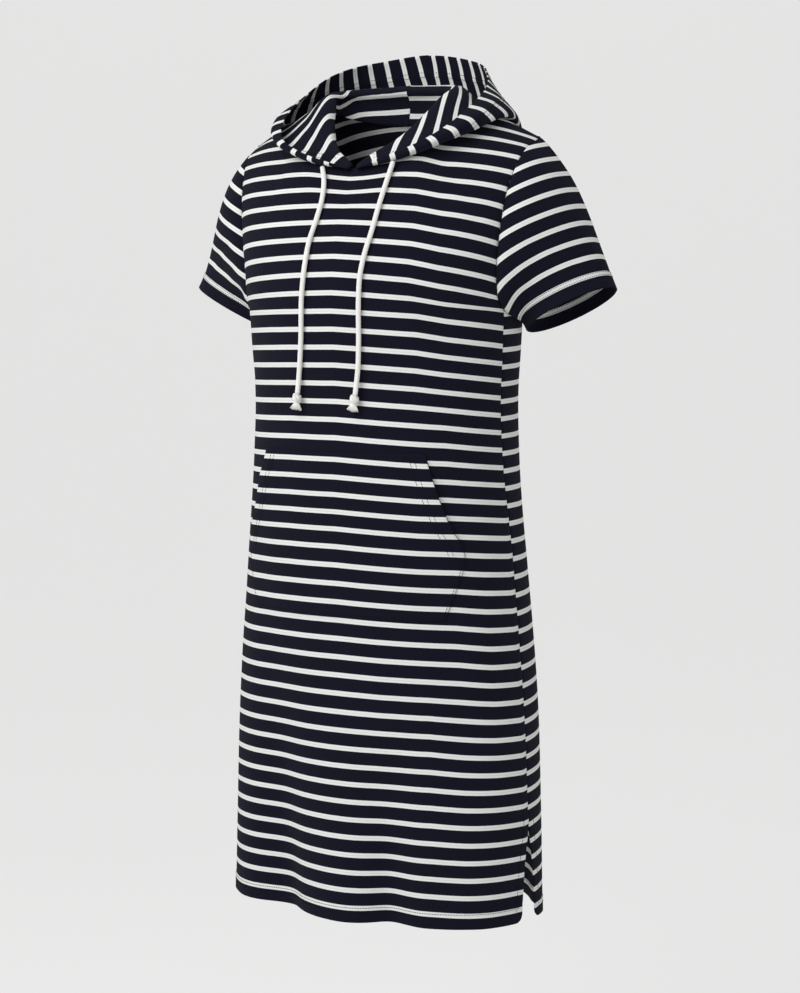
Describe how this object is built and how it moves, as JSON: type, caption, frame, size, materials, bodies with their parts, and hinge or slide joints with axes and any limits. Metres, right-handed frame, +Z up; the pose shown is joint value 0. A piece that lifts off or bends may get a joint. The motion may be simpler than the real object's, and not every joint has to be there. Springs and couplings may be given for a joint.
{
  "type": "hooded t-shirt dress, shown worn with no wearer",
  "caption": "Knee-length hooded knit dress with short sleeves, a front pouch pocket, side slits and a hanging drawcord.",
  "frame": {"origin": "between the shoulders at the height of the neck points, where the wearer's shoulders hold the dress up", "axes": "+Z up towards the hood, -Y out of the front, +X to the wearer's left"},
  "size_m": [0.581, 0.2905, 1.0666],
  "materials": {
    "stripe_knit": "matte knit, near-black navy with narrow off-white stripes",
    "cord_braid": "matte off-white braid"
  },
  "bodies": {
    "root": {"front": "stripe_knit", "back": "stripe_knit", "sleeve_left": "stripe_knit", "sleeve_right": "stripe_knit", "hood_left": "stripe_knit", "hood_right": "stripe_knit", "pocket": "stripe_knit", "cord_left": "cord_braid", "cord_right": "cord_braid", "cord_end_left": "cord_braid", "cord_end_right": "cord_braid"}
  },
  "joints": []
}
